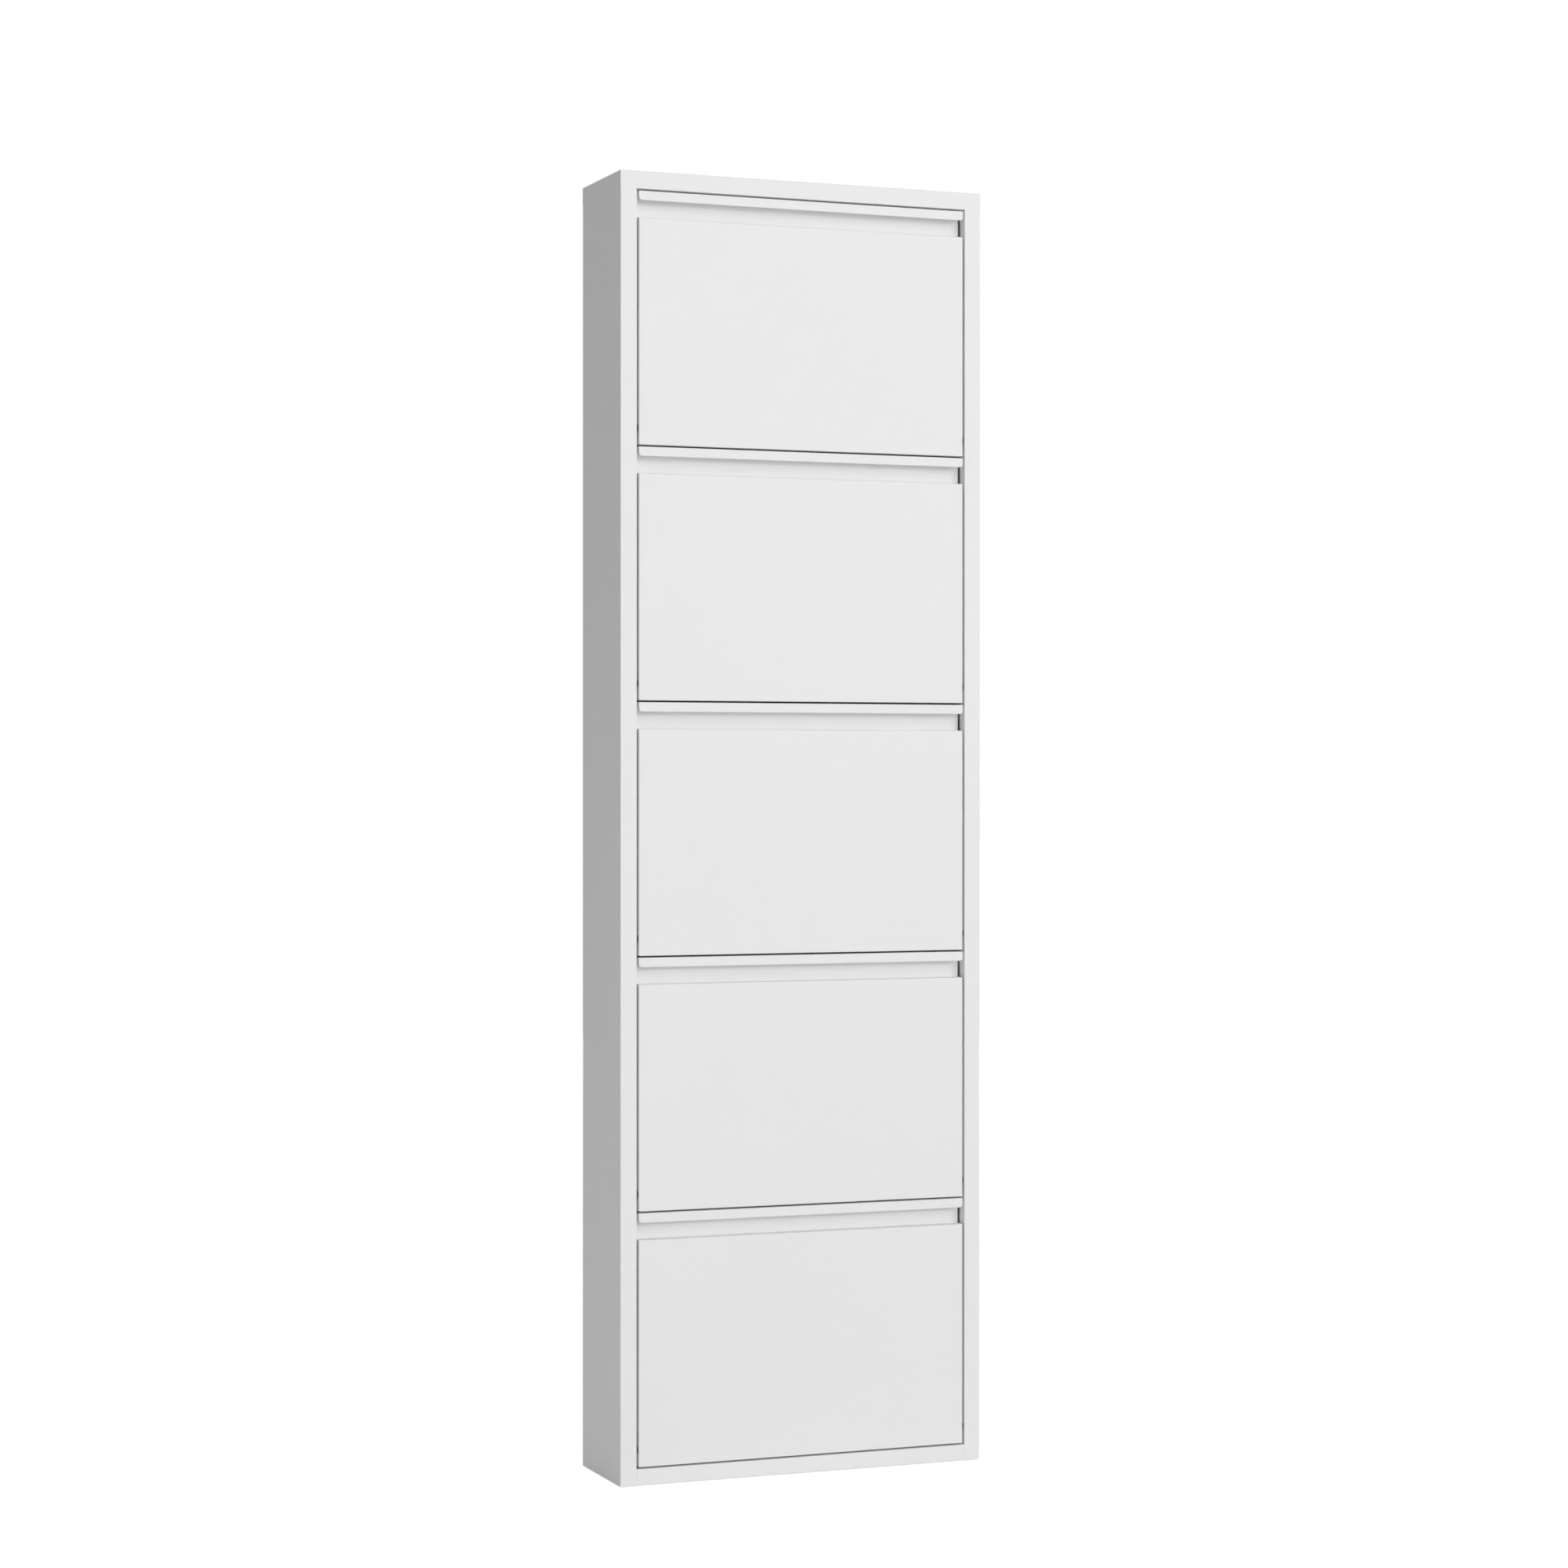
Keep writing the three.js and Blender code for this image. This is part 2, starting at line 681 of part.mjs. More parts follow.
flapBottoms.forEach((bottom, i) => {
  const number = i + 1;
  const place = new THREE.Group();
  place.position.set(0, front, bottom);
  place.add(named(`flap_${number}_front`, frontGeometry, flapCoat));
  place.add(named(`flap_${number}_tray`, trayGeometry, trayCoat));
  place.add(named(`flap_${number}_rod`, rodGeometry, zincSteel));
  ["left", "right"].forEach((side) => {
    place.add(named(`flap_${number}_bush_${side}`, bushes[side], blackNylon));
    place.add(named(`pivot_pin_${number}_${side}`, pins[side], zincSteel));
    place.add(named(`closing_buffer_${number}_${side}`, buffers[side], rubber));
  });
  cabinet.add(place);
});

export default cabinet;
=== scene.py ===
# %% [markdown]
# # A slim shoe cabinet in white powder-coated steel
#
# The cabinet is a folded sheet-steel case with five tip-out flaps, one above the other. Its shapes
# come ready made, as one mesh for each piece of metal, plastic or rubber. This lesson gives them
# what a model of the bare construction lacks: soft edges, real finishes, the small fasteners and
# the painted seams, and a studio to stand in.
#
# All lengths are in metres. X runs to the right, Y from the front to the wall, and Z up from the
# floor.

# %% Load the pieces
import json
import math

import bmesh
import bpy
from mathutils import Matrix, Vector

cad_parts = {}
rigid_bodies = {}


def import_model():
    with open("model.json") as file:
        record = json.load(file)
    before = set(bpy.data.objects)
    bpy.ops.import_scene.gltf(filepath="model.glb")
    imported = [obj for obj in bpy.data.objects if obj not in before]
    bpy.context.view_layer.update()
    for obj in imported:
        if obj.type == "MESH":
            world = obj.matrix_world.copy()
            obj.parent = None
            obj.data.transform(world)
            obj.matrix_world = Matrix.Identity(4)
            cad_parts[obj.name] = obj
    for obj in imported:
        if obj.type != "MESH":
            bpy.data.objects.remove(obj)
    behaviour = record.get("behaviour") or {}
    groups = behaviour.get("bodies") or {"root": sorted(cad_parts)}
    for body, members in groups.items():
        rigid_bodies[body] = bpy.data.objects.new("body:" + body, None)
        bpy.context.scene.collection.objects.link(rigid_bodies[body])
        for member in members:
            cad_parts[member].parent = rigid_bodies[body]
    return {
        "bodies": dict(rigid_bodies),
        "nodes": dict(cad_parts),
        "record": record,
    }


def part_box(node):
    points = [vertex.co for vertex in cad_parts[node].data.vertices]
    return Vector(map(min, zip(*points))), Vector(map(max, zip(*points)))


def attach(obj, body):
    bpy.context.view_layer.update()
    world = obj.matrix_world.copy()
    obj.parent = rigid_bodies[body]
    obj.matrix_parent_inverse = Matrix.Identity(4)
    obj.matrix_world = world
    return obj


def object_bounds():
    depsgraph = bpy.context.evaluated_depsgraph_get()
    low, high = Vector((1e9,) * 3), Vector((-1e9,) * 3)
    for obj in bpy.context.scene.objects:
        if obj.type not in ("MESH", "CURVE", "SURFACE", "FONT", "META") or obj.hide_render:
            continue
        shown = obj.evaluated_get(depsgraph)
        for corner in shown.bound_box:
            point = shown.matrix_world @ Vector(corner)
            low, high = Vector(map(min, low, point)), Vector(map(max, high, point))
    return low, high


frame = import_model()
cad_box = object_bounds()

nodes = frame["nodes"]
low_corner, high_corner = cad_box
middle = (low_corner + high_corner) / 2
size = high_corner - low_corner
print("width, depth and height:", [round(side, 4) for side in size])

# %% [markdown]
# ## The camera
#
# The camera comes first, because it decides how large each detail will be in the picture. It
# stands to the left of straight in front, so one long side shows as a narrow strip, and at a
# little over half the cabinet's height, so the upright edges stay parallel. A short lens close by
# would make the top and the base lean away. A long lens, well back, keeps the cabinet slim and
# calm.

# %% Place the camera
CAMERA_DISTANCE = 4.652  # from the cabinet's upright middle line
CAMERA_SIDE = math.radians(21.6)  # round to the left from straight in front
CAMERA_HEIGHT = 0.905
CAMERA_TURN = math.radians(21.63)  # to the right of +Y
CAMERA_NOD = math.radians(-0.085)
CAMERA_ROLL = math.radians(-0.016)
CAMERA_LENS = 80.814  # millimetres
SENSOR_WIDTH = 36  # millimetres

camera_data = bpy.data.cameras.new("camera")
camera_data.lens = CAMERA_LENS
camera_data.sensor_width = SENSOR_WIDTH
camera = bpy.data.objects.new("camera", camera_data)
bpy.context.scene.collection.objects.link(camera)
camera.location = (
    -CAMERA_DISTANCE * math.sin(CAMERA_SIDE),
    -CAMERA_DISTANCE * math.cos(CAMERA_SIDE),
    CAMERA_HEIGHT,
)
# A camera looks along its own -Z, so a quarter turn about X points it at the horizon.
camera.rotation_mode = "XYZ"
camera.rotation_euler = (math.pi / 2 + CAMERA_NOD, CAMERA_ROLL, -CAMERA_TURN)
bpy.context.scene.camera = camera
print("camera at", [round(value, 3) for value in camera.location])

# %% [markdown]
# ## Small helpers for shader nodes
#
# Every finish below is a small graph of shader nodes, made in code instead of by hand, so that it
# can be read from top to bottom. `add_node` adds one node. An input that is given a socket is
# linked to it, and any other value is written on the input itself. The others are the few steps
# that nearly every finish needs: a grey, random noise, a colour between two, a place on the piece
# to measure from, and the shader that the graph ends in.

# %% Shader helpers
def add_node(tree, kind, inputs=None, **settings):
    """A new shader node, with its settings made and its inputs filled or linked."""
    node = tree.nodes.new(kind)
    for name, value in settings.items():
        setattr(node, name, value)
    for name, value in (inputs or {}).items():
        if isinstance(value, bpy.types.NodeSocket):
            tree.links.new(value, node.inputs[name])
        else:
            node.inputs[name].default_value = value
    return node


def math_node(tree, operation, first, second):
    """The result of a sum on two values or sockets."""
    return add_node(tree, "ShaderNodeMath", {0: first, 1: second}, operation=operation).outputs[0]


def empty_tree(material_or_world):
    """The node tree of a material or a world, with nothing in it."""
    material_or_world.use_nodes = True
    tree = material_or_world.node_tree
    tree.nodes.clear()
    return tree


def grey(value):
    """A grey as red, green, blue and alpha."""
    return (value, value, value, 1)


def object_place(tree):
    """Where a point lies on the piece, in metres."""
    return add_node(tree, "ShaderNodeTexCoord").outputs["Object"]


def noise(tree, where, waves, detail=2.0, roughness=0.5):
    """Smooth random values between 0 and 1, with so many waves in a metre."""
    inputs = {"Vector": where, "Scale": waves, "Detail": detail, "Roughness": roughness}
    return add_node(tree, "ShaderNodeTexNoise", inputs).outputs["Fac"]


def blend_colours(tree, factor, first, second):
    """A colour between two others, as the factor goes from 0 to 1."""
    mix = add_node(tree, "ShaderNodeMix", {"Factor": factor}, data_type="RGBA")
    mix.inputs[6].default_value = first
    mix.inputs[7].default_value = second
    return mix.outputs[2]


def shade(tree, look):
    """Ends a material's tree in one principled shader with the given inputs."""
    shader = add_node(tree, "ShaderNodeBsdfPrincipled", look)
    add_node(tree, "ShaderNodeOutputMaterial", {"Surface": shader.outputs[0]})


# %% [markdown]
# ## The studio: world and floor
#
# The background is plain white, and white in the picture must not mean glaring light on the paint.
# So the world has two faces. Rays that come straight from the camera, or from a mirror-like
# reflection, see a white of strength 1. All other rays, the ones that light the cabinet, see a
# calmer grey.
#
# The floor is a large pale sheet. Camera rays see it brightened by a constant glow that lifts it
# to the white of the background where it is fully lit, and leaves it a little darker where the
# cabinet keeps the light away. That is how the cabinet keeps its shadow in front of a seamless
# background. From below the floor is clear, so that the underside of the base can be looked at
# too.

# %% White surroundings
SURROUND_LIGHT = 0.304  # strength of the even light from all round


def seen_directly(tree):
    """1 for rays from the camera and for reflected or transmitted ones, otherwise 0."""
    path = add_node(tree, "ShaderNodeLightPath").outputs
    camera_or_glossy = math_node(tree, "MAXIMUM", path["Is Camera Ray"], path["Is Glossy Ray"])
    return math_node(tree, "MAXIMUM", camera_or_glossy, path["Is Transmission Ray"])


world = bpy.data.worlds.new("studio")
bpy.context.scene.world = world
tree = empty_tree(world)
even_light = add_node(tree, "ShaderNodeBackground", {"Color": grey(1), "Strength": SURROUND_LIGHT})
white = add_node(tree, "ShaderNodeBackground", {"Color": grey(1), "Strength": 1})
choice = add_node(
    tree,
    "ShaderNodeMixShader",
    {0: seen_directly(tree), 1: even_light.outputs[0], 2: white.outputs[0]},
)
add_node(tree, "ShaderNodeOutputWorld", {"Surface": choice.outputs[0]})
print("light from all round:", SURROUND_LIGHT)

# %% A floor that keeps the shadow
FLOOR_REACH = 40  # from the cabinet to the floor's edge
FLOOR_TONE = 0.75
FLOOR_DARKER = 0.99  # the share of that tone in the darker fibres
FLOOR_GLOW = 0.80
FLOOR_FIBRES = 60


def floor_material():
    """Pale matt paper with a glow that only direct rays see, and clear from below."""
    material = bpy.data.materials.new("studio_floor")
    tree = empty_tree(material)
    fibre = noise(tree, object_place(tree), FLOOR_FIBRES, detail=4)
    tone = blend_colours(tree, fibre, grey(FLOOR_TONE), grey(FLOOR_TONE * FLOOR_DARKER))
    paper = add_node(tree, "ShaderNodeBsdfDiffuse", {"Color": tone})
    strength = math_node(tree, "MULTIPLY", seen_directly(tree), FLOOR_GLOW)
    glow = add_node(tree, "ShaderNodeEmission", {"Strength": strength})
    lit = add_node(tree, "ShaderNodeAddShader", {0: paper.outputs[0], 1: glow.outputs[0]})
    clear = add_node(tree, "ShaderNodeBsdfTransparent")
    from_below = add_node(tree, "ShaderNodeNewGeometry").outputs["Backfacing"]
    one_sided = add_node(
        tree, "ShaderNodeMixShader", {0: from_below, 1: lit.outputs[0], 2: clear.outputs[0]}
    )
    add_node(tree, "ShaderNodeOutputMaterial", {"Surface": one_sided.outputs[0]})
    return material


floor_mesh = bpy.data.meshes.new("floor")
floor_mesh.from_pydata(
    [
        (-FLOOR_REACH, -FLOOR_REACH, 0),
        (FLOOR_REACH, -FLOOR_REACH, 0),
        (FLOOR_REACH, FLOOR_REACH, 0),
        (-FLOOR_REACH, FLOOR_REACH, 0),
    ],
    [],
    [(0, 1, 2, 3)],
)
floor_mesh.materials.append(floor_material())
floor = bpy.data.objects.new("floor", floor_mesh)
floor.location.z = low_corner.z
bpy.context.scene.collection.objects.link(floor)
print("floor at z =", round(floor.location.z, 4))

# %% [markdown]
# ## The lamps
#
# A white cabinet on white shows its shape by its shadows alone, so the lamps are few, each with
# one task:
#
# - The key lamp stands far off to the right, and is small. Its light comes almost parallel, and it
#   draws the shadow that each lip throws into the recess under it, and the stile's at the recess's
#   right end.
# - A large soft box in front fills the faces of the flaps evenly, and a smaller one high up makes
#   the upper flaps a shade brighter than the lower ones.
# - A long strip low in front sends light up into the recesses, so that the shadows stay soft and
#   grey.
# - The long side faces away from all of these and stays the darkest part. A weak strip near the
#   floor stands for the light that a pale floor throws back at its foot.
# - A soft box behind serves only whoever walks round the cabinet.
#
# One large lamp would be quicker, but it would either wipe out the shadows under the lips or make
# them black. Every lamp is hidden from the camera.

# %% Key lamp, soft boxes and strips
def area_lamp(name, place, target, width, height, power):
    """A flat rectangular lamp that faces a target, with its power in watts."""
    data = bpy.data.lights.new(name, "AREA")
    data.shape = "RECTANGLE"
    data.size = width
    data.size_y = height
    data.energy = power
    lamp = bpy.data.objects.new(name, data)
    lamp.location = place
    direction = Vector(target) - Vector(place)
    lamp.rotation_euler = direction.to_track_quat("-Z", "Y").to_euler()
    lamp.visible_camera = False
    bpy.context.scene.collection.objects.link(lamp)
    print(name, "at", [round(value, 2) for value in lamp.location], "with", power, "W")


KEY_SIDE = math.radians(36.7)  # round to the right from straight in front
KEY_RISE = math.radians(13.6)  # above the level of the cabinet's middle
KEY_DISTANCE = 22

key_direction = Vector(
    (
        math.sin(KEY_SIDE) * math.cos(KEY_RISE),
        -math.cos(KEY_SIDE) * math.cos(KEY_RISE),
        math.sin(KEY_RISE),
    )
)
key_place = middle + key_direction * KEY_DISTANCE
side_foot = Vector((low_corner.x, 0, low_corner.z))
area_lamp("key_lamp", key_place, middle, width=1.4, height=1.4, power=502.8)
area_lamp("front_box", (1.4, -7.0, 2.9), middle, width=5.0, height=4.0, power=143.7)
area_lamp("high_box", (1.0, -4.0, 4.6), middle, width=3.0, height=2.0, power=37.7)
area_lamp("low_front_strip", (0.8, -6.0, 0.35), middle, width=4.0, height=0.5, power=36.7)
area_lamp("floor_strip", (-2.0, -1.1, 0.12), side_foot, width=1.0, height=0.2, power=3.18)
area_lamp("back_box", (3.2, 6.5, 2.4), middle, width=4.0, height=4.0, power=180)

# %% [markdown]
# ## Soft edges on folded sheet
#
# Cut and folded sheet steel has no razor edges: the shear leaves a small burr-free round, and the
# coat of paint fills it a little more. The meshes are exact but triangulated and sharp. They could
# be remade with rounds in them, but then every size would have to be kept true twice. Instead a
# short stack of modifiers does it, on whatever shape comes in:
#
# - Weld joins the triangles' separate corners.
# - Decimate dissolves the lines that lie flat in a face, so a panel is one face again.
# - A small node group drops the stored flat normals and smooths all edges but the steep ones.
# - Bevel rounds the cut edges by a fraction of the sheet's thickness.
# - Weighted Normal keeps the large faces flat, so that only the round catches the light.

# %% The smoothing node group
SMOOTH_BELOW = math.radians(40)


def smoothing_group():
    """A geometry node group: smooth faces, with the edges steeper than SMOOTH_BELOW kept sharp."""
    group = bpy.data.node_groups.new("smooth_by_angle", "GeometryNodeTree")
    group.interface.new_socket("Geometry", in_out="INPUT", socket_type="NodeSocketGeometry")
    group.interface.new_socket("Geometry", in_out="OUTPUT", socket_type="NodeSocketGeometry")
    start = group.nodes.new("NodeGroupInput")
    end = group.nodes.new("NodeGroupOutput")
    forget = add_node(
        group,
        "GeometryNodeRemoveAttribute",
        {"Geometry": start.outputs[0], "Name": "custom_normal"},
    )
    faces = add_node(
        group,
        "GeometryNodeSetShadeSmooth",
        {"Geometry": forget.outputs["Geometry"], "Shade Smooth": True},
        domain="FACE",
    )
    angle = add_node(group, "GeometryNodeInputMeshEdgeAngle").outputs["Unsigned Angle"]
    steep = add_node(
        group, "FunctionNodeCompare", {"A": angle, "B": SMOOTH_BELOW}, operation="GREATER_THAN"
    )
    edges = add_node(
        group,
        "GeometryNodeSetShadeSmooth",
        {
            "Geometry": faces.outputs["Geometry"],
            "Selection": steep.outputs["Result"],
            "Shade Smooth": False,
        },
        domain="EDGE",
    )
    group.links.new(edges.outputs["Geometry"], end.inputs[0])
    return group


smooth_by_angle = smoothing_group()

# %% The modifier stack
SAME_POINT = 0.000001
FLAT_WITHIN = math.radians(0.5)
SHEET_ROUND = 0.00018
STEEL_ROUND = 0.00015
MOULDED_ROUND = 0.00020
ROUND_SEGMENTS = 2
LARGE_FACES_WEIGHT = 100
EDGE_ROUND = {
    "case_coat": SHEET_ROUND,
    "flap_coat": SHEET_ROUND,
    "tray_coat": SHEET_ROUND,
    "zinc_steel": STEEL_ROUND,
    "nylon": MOULDED_ROUND,
    "black_nylon": MOULDED_ROUND,
    "rubber": MOULDED_ROUND,
}


def soften_edges(piece, radius):
    """Rounds the steep edges of a piece by modifiers alone."""
    weld = piece.modifiers.new("weld", "WELD")
    weld.merge_threshold = SAME_POINT
    dissolve = piece.modifiers.new("dissolve", "DECIMATE")
    dissolve.decimate_type = "DISSOLVE"
    dissolve.angle_limit = FLAT_WITHIN
    smooth = piece.modifiers.new("smooth", "NODES")
    smooth.node_group = smooth_by_angle
    bevel = piece.modifiers.new("bevel", "BEVEL")
    bevel.width = radius
    bevel.segments = ROUND_SEGMENTS
    bevel.limit_method = "ANGLE"
    bevel.angle_limit = SMOOTH_BELOW
    weighted = piece.modifiers.new("weighted_normal", "WEIGHTED_NORMAL")
    weighted.keep_sharp = True
    weighted.weight = LARGE_FACES_WEIGHT


slot_of = {entry["node"]: entry["material_slot"] for entry in frame["record"]["subparts"]}
for name, piece in nodes.items():
    soften_edges(piece, EDGE_ROUND[slot_of[name]])
print("softened the edges of", len(nodes), "pieces")

# %% [markdown]
# ## White powder coat
#
# The case and the flaps are sprayed with dry powder that melts into a tough skin in the oven.
# Close up the skin isn't flat: it has a soft "orange peel" a few millimetres across and a finer
# grain inside it. Its sheen is semi-matt. Both waves are only some hundredths of a millimetre
# high. Real bumps that small would take millions of faces, so they are made as bump from two noise
# textures in object coordinates. The colour drifts by a fraction of a percent where the coat is
# thicker or thinner, and so does the roughness.

# %% Powder coat
def bump(tree, height, distance, under=None):
    """A bump node for a height between 0 and 1 that stands for so many metres."""
    inputs = {"Height": height, "Distance": distance}
    if under is not None:
        inputs["Normal"] = under
    return add_node(tree, "ShaderNodeBump", inputs).outputs["Normal"]


NOISE_LOW = 0.3  # most of a noise texture's values lie between these two
NOISE_HIGH = 0.7


def between(tree, factor, low, high, from_low=NOISE_LOW, from_high=NOISE_HIGH):
    """A value from low to high, as the factor goes from from_low to from_high."""
    inputs = {
        "Value": factor,
        "From Min": from_low,
        "From Max": from_high,
        "To Min": low,
        "To Max": high,
    }
    return add_node(tree, "ShaderNodeMapRange", inputs).outputs["Result"]


COAT_TONE = 0.87
THIN_COAT = 0.994  # the share of that tone where the coat is thinnest
COAT_WAVES = 5
COAT_ROUGHNESS = (0.54, 0.60)
COAT_SPECULAR = 0.35
SHEEN_WAVES = 40
POLYMER_IOR = 1.5  # of paint, nylon and rubber
PEEL_WAVES = 330
PEEL_HEIGHT = 0.000045
GRAIN_WAVES = 1500
GRAIN_HEIGHT = 0.000010


def powder_coat(name):
    """White powder coat: orange peel, fine grain, and a slight drift of colour and sheen."""
    material = bpy.data.materials.new(name)
    tree = empty_tree(material)
    where = object_place(tree)
    thickness = between(tree, noise(tree, where, COAT_WAVES, detail=3), 0, 1)
    colour = blend_colours(tree, thickness, grey(COAT_TONE * THIN_COAT), grey(COAT_TONE))
    sheen = noise(tree, where, SHEEN_WAVES, detail=4)
    peel = bump(tree, noise(tree, where, PEEL_WAVES), PEEL_HEIGHT)
    grain = bump(tree, noise(tree, where, GRAIN_WAVES, detail=3), GRAIN_HEIGHT, under=peel)
    look = {
        "Base Color": colour,
        "Roughness": between(tree, sheen, *COAT_ROUGHNESS),
        "Normal": grain,
        "IOR": POLYMER_IOR,
        "Specular IOR Level": COAT_SPECULAR,
    }
    shade(tree, look)
    return material


case_coat = powder_coat("case_coat")
flap_coat = powder_coat("flap_coat")
print("powder coat on the case and on the flaps")

# %% [markdown]
# ## Coat inside the trays
#
# The trays wear the same powder, sprayed thinner because nobody looks there, and shoes rub it. The
# rubs are long faint streaks that run up and down, where toes slide in and out. They could be
# painted by hand on each tray, but a noise texture squeezed in height gives every tray its own: it
# darkens the coat a little and polishes it, and a second, broader noise keeps the streaks in
# patches.

# %% Rubbed tray coat
TRAY_TONE = 0.82
RUBBED_TONE = 0.9  # the share of that tone where shoes have rubbed it
TRAY_ROUGHNESS = (0.52, 0.38)  # fresh and rubbed
STREAK_WAVES = 90
PATCH_WAVES = 14
STREAK_SQUEEZE = (1, 1, 0.08)  # waves in height become twelve times as long
TRAY_PEEL_WAVES = 420
TRAY_PEEL_HEIGHT = 0.00004
TRAY_GRAIN_HEIGHT = 0.000014


def rubbed_coat(name):
    """Thin powder coat with streaks where shoes have rubbed it."""
    material = bpy.data.materials.new(name)
    tree = empty_tree(material)
    where = object_place(tree)
    squeezed = add_node(tree, "ShaderNodeMapping", {"Vector": where, "Scale": STREAK_SQUEEZE})
    streaks = noise(tree, squeezed.outputs["Vector"], STREAK_WAVES, detail=5, roughness=0.6)
    rubbed = between(tree, streaks, 0, 1, from_low=0.55, from_high=0.75)
    broad = noise(tree, where, PATCH_WAVES, detail=3)
    patches = between(tree, broad, 0, 1, from_low=0.45, from_high=0.6)
    wear = math_node(tree, "MULTIPLY", rubbed, patches)
    colour = blend_colours(tree, wear, grey(TRAY_TONE), grey(TRAY_TONE * RUBBED_TONE))
    peel = bump(tree, noise(tree, where, TRAY_PEEL_WAVES), TRAY_PEEL_HEIGHT)
    grain = bump(tree, noise(tree, where, GRAIN_WAVES, detail=3), TRAY_GRAIN_HEIGHT, under=peel)
    look = {
        "Base Color": colour,
        "Roughness": between(tree, wear, *TRAY_ROUGHNESS, from_low=0, from_high=1),
        "Normal": grain,
        "IOR": POLYMER_IOR,
    }
    shade(tree, look)
    return material


tray_coat = rubbed_coat("tray_coat")
print("rubbed coat in the trays")

# %% [markdown]
# ## Zinc-plated steel
#
# Rods, pins, plates, rivets and clips are bright zinc-plated. Zinc is a metal, so its colour sits
# in the reflection. A plain metal shader would pass for chrome. Two things tell zinc from it: a
# faint patchwork of crystals, a few millimetres each, with slightly different brightness, and fine
# drawing lines along the length, which blur the reflection.

# %% Zinc plating
CRYSTALS = 420
DRAWN_ALONG_X = (0.03, 1, 1)
DRAWING_LINES = 4000
DRAWING_DEPTH = 0.000006
ZINC_DARK = (0.56, 0.57, 0.59, 1)
ZINC_LIGHT = (0.66, 0.67, 0.68, 1)
ZINC_ROUGHNESS = (0.27, 0.36)


def zinc_plating(name):
    """Bright zinc: a patchwork of crystals and fine lines along X."""
    material = bpy.data.materials.new(name)
    tree = empty_tree(material)
    where = object_place(tree)
    crystals = add_node(tree, "ShaderNodeTexVoronoi", {"Vector": where, "Scale": CRYSTALS})
    patch = add_node(tree, "ShaderNodeSeparateColor", {"Color": crystals.outputs["Color"]})
    lengthwise = add_node(tree, "ShaderNodeMapping", {"Vector": where, "Scale": DRAWN_ALONG_X})
    lines = noise(tree, lengthwise.outputs["Vector"], DRAWING_LINES, detail=3)
    look = {
        "Base Color": blend_colours(tree, patch.outputs["Red"], ZINC_DARK, ZINC_LIGHT),
        "Metallic": 1.0,
        "Roughness": between(tree, patch.outputs["Green"], *ZINC_ROUGHNESS, 0, 1),
        "Normal": bump(tree, lines, DRAWING_DEPTH),
    }
    shade(tree, look)
    return material


zinc_steel = zinc_plating("zinc_steel")
print("zinc on rods, pins, plates and fasteners")

# %% [markdown]
# ## Nylon and rubber
#
# The glides are moulded in natural white nylon: a warm white, semi-matt, in a mould whose
# spark-eroded walls leave a fine even grain. The bushes are of black nylon, so that they hardly
# show in the gap beside a flap. The buffers are black rubber: rougher, a little lighter where it
# has bloomed, and never shiny. Each could have a graph of its own, but they differ in numbers
# alone, so one function serves for all.

# %% Moulded plastics
BLOOM_WAVES = 160
MOULD_SHEEN_WAVES = 500


def moulded(name, colour, patch_colour, roughness, grain_waves, grain_depth):
    """Plastic or rubber with a moulded grain and soft patches of a second colour."""
    material = bpy.data.materials.new(name)
    tree = empty_tree(material)
    where = object_place(tree)
    patches = between(tree, noise(tree, where, BLOOM_WAVES, detail=4), 0, 1)
    look = {
        "Base Color": blend_colours(tree, patches, colour, patch_colour),
        "Roughness": between(tree, noise(tree, where, MOULD_SHEEN_WAVES), *roughness),
        "Normal": bump(tree, noise(tree, where, grain_waves), grain_depth),
        "IOR": POLYMER_IOR,
    }
    shade(tree, look)
    return material


nylon = moulded(
    "nylon",
    colour=(0.80, 0.79, 0.76, 1),
    patch_colour=(0.78, 0.765, 0.73, 1),
    roughness=(0.45, 0.55),
    grain_waves=2600,
    grain_depth=0.00002,
)
black_nylon = moulded(
    "black_nylon",
    colour=(0.030, 0.030, 0.032, 1),
    patch_colour=(0.036, 0.036, 0.038, 1),
    roughness=(0.42, 0.52),
    grain_waves=2600,
    grain_depth=0.00002,
)
rubber = moulded(
    "rubber",
    colour=(0.022, 0.022, 0.023, 1),
    patch_colour=(0.036, 0.036, 0.036, 1),
    roughness=(0.70, 0.85),
    grain_waves=1800,
    grain_depth=0.00003,
)
print("white nylon for glides, black nylon for bushes, rubber for buffers")

# %% Give each piece its finish
finish_of = {
    "case_coat": case_coat,
    "flap_coat": flap_coat,
    "tray_coat": tray_coat,
    "zinc_steel": zinc_steel,
    "nylon": nylon,
    "black_nylon": black_nylon,
    "rubber": rubber,
}
for name, piece in nodes.items():
    for slot in piece.material_slots:
        slot.material = finish_of[slot_of[name]]
for slot_name in finish_of:
    print(slot_name, "on", sum(1 for name in nodes if slot_of[name] == slot_name), "pieces")

# %% [markdown]
# ## Pieces of our own
#
# The fasteners and the painted seams are too small for the model of the construction, so they are
# meshes made here. Each takes its place from the pieces that it holds together. One helper turns a
# list of corners and faces into a piece: it sets the finish, softens the edges like those of the
# rest, and says which body the piece moves with.

